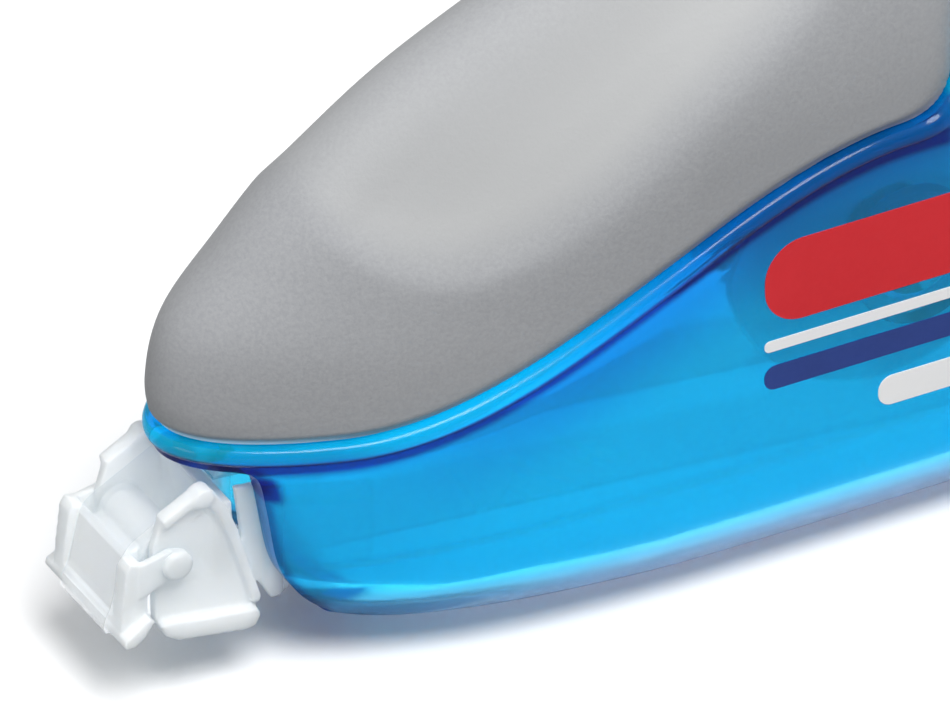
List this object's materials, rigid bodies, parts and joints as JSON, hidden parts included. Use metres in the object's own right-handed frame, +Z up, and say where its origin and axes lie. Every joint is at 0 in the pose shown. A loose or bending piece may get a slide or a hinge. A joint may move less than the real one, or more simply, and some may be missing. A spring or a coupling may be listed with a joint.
{
  "type": "correction tape",
  "caption": "Hand-held correction tape dispenser with a translucent blue case, a soft grey grip over its nose, geared tape reels and a rocking applicator tip.",
  "frame": {"origin": "Centre of the part's length and thickness, on the flat belly it stands on.", "axes": "+X runs from the applicator tip to the tail, +Y across the thickness from the left half to the right half, +Z up from the belly to the grip."},
  "size_m": [0.0787, 0.016, 0.0375],
  "materials": {
    "blue_translucent": "translucent blue moulding, smooth outside and finely misted inside",
    "grip_rubber": "matt soft grey rubber with a fine grain",
    "milky_plastic": "milky translucent plastic, satin",
    "white_plastic": "plain white moulded plastic",
    "correction_film": "opaque white film, matt",
    "clear_liner": "clear carrier film",
    "clutch_rubber": "black rubber",
    "spring_steel": "bright spring steel"
  },
  "bodies": {
    "case": {"case_left": "blue_translucent", "case_right": "blue_translucent", "soft_grip": "grip_rubber", "tip_carrier": "milky_plastic", "tip_pin": "milky_plastic", "clutch_washer": "spring_steel", "clutch_spring": "spring_steel", "tape_feed_run": "correction_film", "liner_return_run": "clear_liner"},
    "tip": {"tip_head": "milky_plastic", "tip_tape": "clear_liner"},
    "drive": {"drive_gear": "white_plastic", "clutch_ring": "clutch_rubber"},
    "supply": {"supply_spool": "white_plastic", "supply_tape_roll": "correction_film"},
    "takeup": {"takeup_spool": "white_plastic", "takeup_gear": "white_plastic", "liner_roll": "clear_liner"},
    "roller": {"feed_roller": "white_plastic"}
  },
  "joints": [
    {"name": "tip_rock", "type": "hinge", "parent": "case", "child": "tip", "pos_m": [-0.03601, 0, 0.0075], "axis": [0, 1, 0], "range_deg": [-4, 4], "stiffness_Nm_per_rad": 0.02},
    {"name": "drive_spin", "type": "hinge", "parent": "case", "child": "drive", "pos_m": [0.02089, 0, 0.01757], "axis": [0, 1, 0], "continuous": true},
    {"name": "clutch_slip", "type": "hinge", "parent": "drive", "child": "supply", "pos_m": [0.02089, 0, 0.01757], "axis": [0, 1, 0], "continuous": true},
    {"name": "takeup_spin", "type": "hinge", "parent": "case", "child": "takeup", "pos_m": [0.00084, 0, 0.0144], "axis": [0, 1, 0], "continuous": true},
    {"name": "roller_spin", "type": "hinge", "parent": "case", "child": "roller", "pos_m": [0.01044, 0, 0.00375], "axis": [0, 1, 0], "continuous": true}
  ],
  "couplings": [
    {"joint": "takeup_spin", "follows": "drive_spin", "ratio": -2.2222},
    {"joint": "roller_spin", "follows": "drive_spin", "ratio": 10.167}
  ]
}
